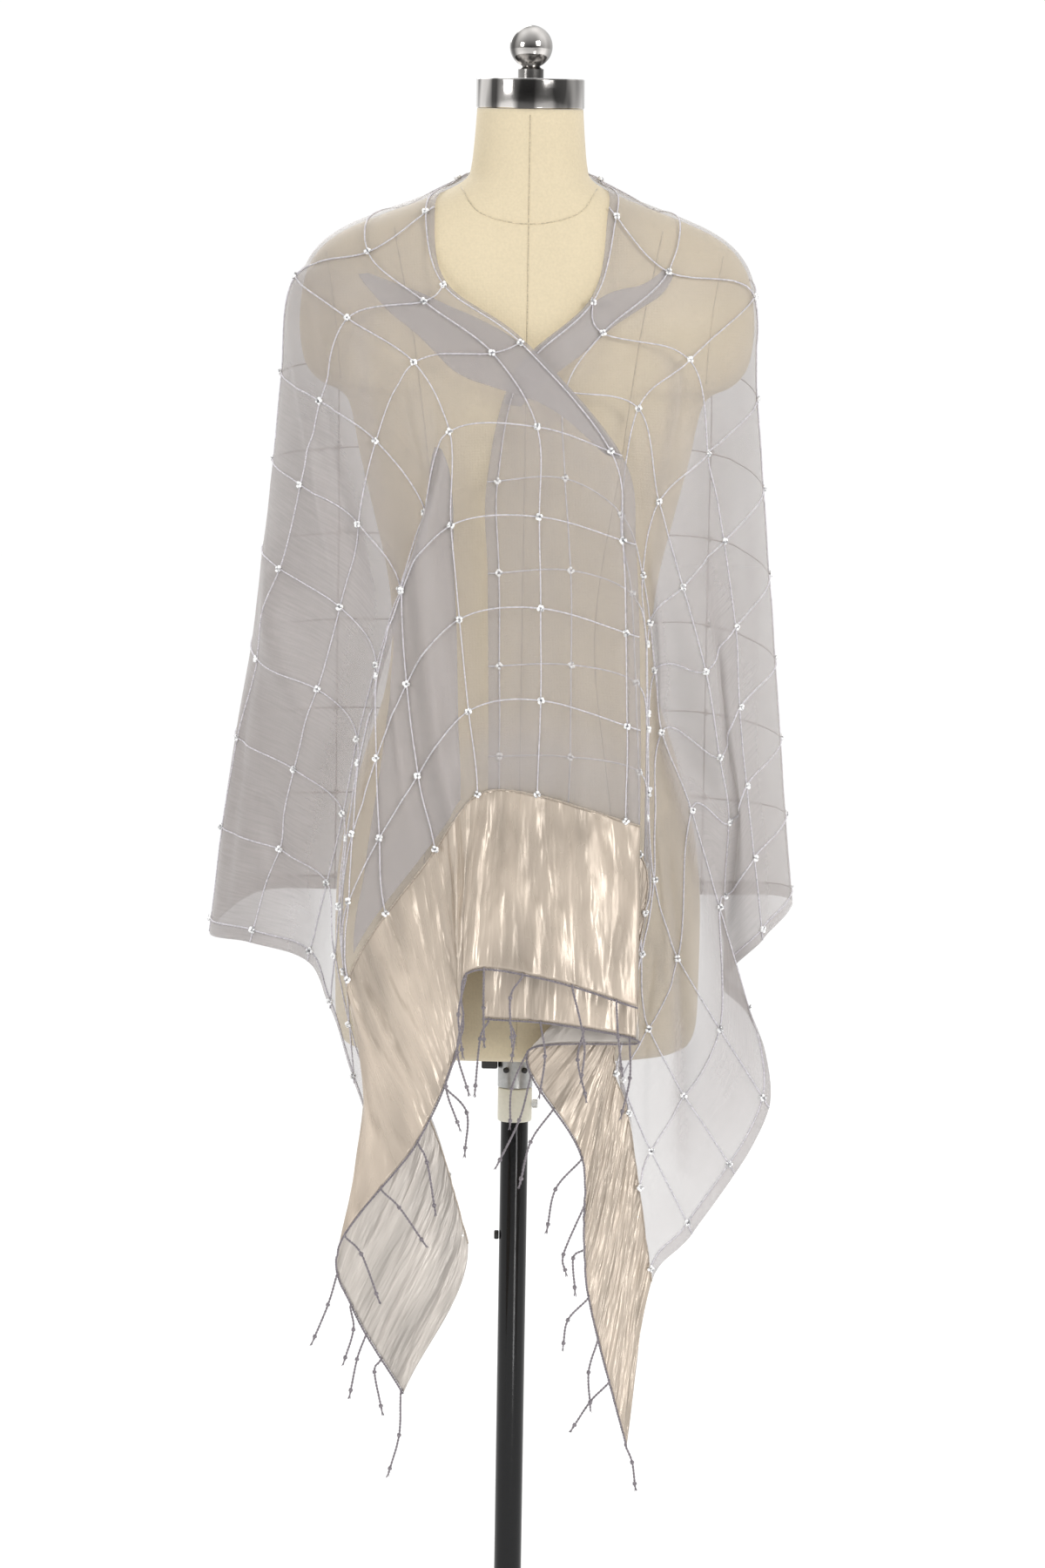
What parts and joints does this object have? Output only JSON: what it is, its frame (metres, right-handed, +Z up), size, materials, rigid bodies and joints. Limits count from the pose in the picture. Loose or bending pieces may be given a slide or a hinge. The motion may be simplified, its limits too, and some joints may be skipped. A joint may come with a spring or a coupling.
{
  "type": "fringed shawl on dress form",
  "caption": "Sheer checked organza shawl with satin ends and knotted fringe, draped over a limbless dress form on a pole stand.",
  "frame": {"origin": "middle of the base's underside, on the floor", "axes": "+Z up, the form faces -Y, its right hand is at -X"},
  "size_m": [0.5237, 0.3659, 1.567],
  "materials": {
    "organza": "sheer",
    "satin": "satin",
    "twist": "matte",
    "form_cotton": "matte",
    "polished_steel": "polished",
    "grey_metal": "satin",
    "cream_plastic": "matte",
    "black_plastic": "matte",
    "clear_plastic": "gloss",
    "black_enamel": "gloss"
  },
  "bodies": {
    "root": {"form_body": "form_cotton", "neck_cap": "polished_steel", "finial": "polished_steel", "collar": "grey_metal", "ferrule": "cream_plastic", "pole": "black_enamel", "base": "black_enamel", "clamp": "black_plastic", "ferrule_knob": "clear_plastic", "pole_button": "black_plastic", "shawl_back": "organza", "shawl_front_left": "organza", "shawl_front_right": "organza", "end_band_left": "satin", "end_band_right": "satin", "neck_tuck_left": "organza", "neck_tuck_right": "organza", "fringe_left": "twist", "fringe_right": "twist"}
  },
  "joints": []
}
